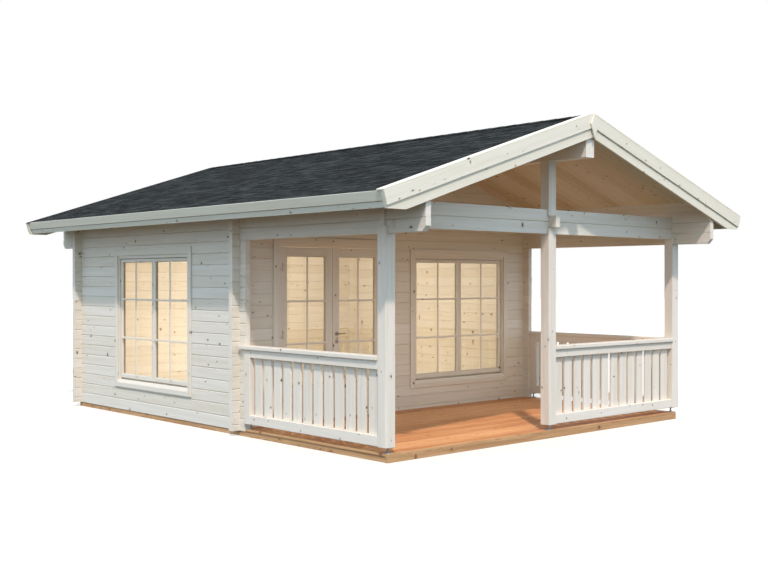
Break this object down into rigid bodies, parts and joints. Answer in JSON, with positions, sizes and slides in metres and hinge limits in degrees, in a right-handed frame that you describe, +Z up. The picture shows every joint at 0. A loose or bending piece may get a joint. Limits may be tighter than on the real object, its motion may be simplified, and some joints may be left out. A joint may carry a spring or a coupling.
{
  "type": "log holiday cabin with veranda",
  "caption": "Small log cabin: one glazed room behind a full-width railed veranda, under a single low gable roof, with a glazed double door.",
  "frame": {"origin": "centre of the whole cabin's outline, on the ground under the foundation beams", "axes": "+Z up, front gable with the veranda faces -Y, +X to the right seen from the front"},
  "size_m": [6.146, 7.598, 3.593],
  "materials": {
    "log_wood": "whitewashed spruce log, matt, with small knots",
    "trim_wood": "whitewashed planed board, matt",
    "base_wood": "tan impregnated timber, matt",
    "deck_wood": "orange-brown oiled boards, matt",
    "floor_wood": "planed pine boards",
    "roof_board_wood": "planed pine boards",
    "bitumen_felt": "mineral-surfaced dark grey bitumen",
    "clear_glass": "clear",
    "galvanised_steel": "galvanised",
    "handle_steel": "brushed"
  },
  "bodies": {
    "house": {"base_frame": "base_wood", "veranda_deck": "deck_wood", "room_floor": "floor_wood", "left_wall_front": "log_wood", "left_wall_back": "log_wood", "left_wall_at_window": "log_wood", "left_wall_top": "log_wood", "right_wall": "log_wood", "right_wall_top": "log_wood", "back_wall": "log_wood", "front_wall_left": "log_wood", "front_wall_middle": "log_wood", "front_wall_right": "log_wood", "front_wall_at_window": "log_wood", "front_wall_gable": "log_wood", "corner_log_ends": "log_wood", "front_tie_beam": "log_wood", "centre_block": "log_wood", "king_post": "log_wood", "veranda_posts": "log_wood", "post_feet": "galvanised_steel", "left_railing": "log_wood", "front_railing": "log_wood", "right_railing": "log_wood", "ridge_beam": "log_wood", "roof_boards": "roof_board_wood", "roof_covering": "bitumen_felt", "ridge_cap": "bitumen_felt", "verge_caps": "trim_wood", "front_bargeboards": "trim_wood", "back_bargeboards": "trim_wood", "apex_covers": "trim_wood", "eave_fascias": "trim_wood", "left_window_frame": "trim_wood", "left_window_sashes": "trim_wood", "front_window_frame": "trim_wood", "front_window_sashes": "trim_wood", "window_glass": "clear_glass", "door_frame": "trim_wood"},
    "left_leaf": {"left_door": "trim_wood", "left_door_glass": "clear_glass"},
    "right_leaf": {"right_door": "trim_wood", "right_door_glass": "clear_glass", "door_handle": "handle_steel"}
  },
  "joints": [
    {"name": "left_door_hinge", "type": "hinge", "parent": "house", "child": "left_leaf", "pos_m": [-1.8975, -0.713, 1.14], "axis": [0, 0, -1], "range_deg": [0, 110]},
    {"name": "right_door_hinge", "type": "hinge", "parent": "house", "child": "right_leaf", "pos_m": [-0.3425, -0.713, 1.14], "axis": [0, 0, 1], "range_deg": [0, 110]}
  ]
}
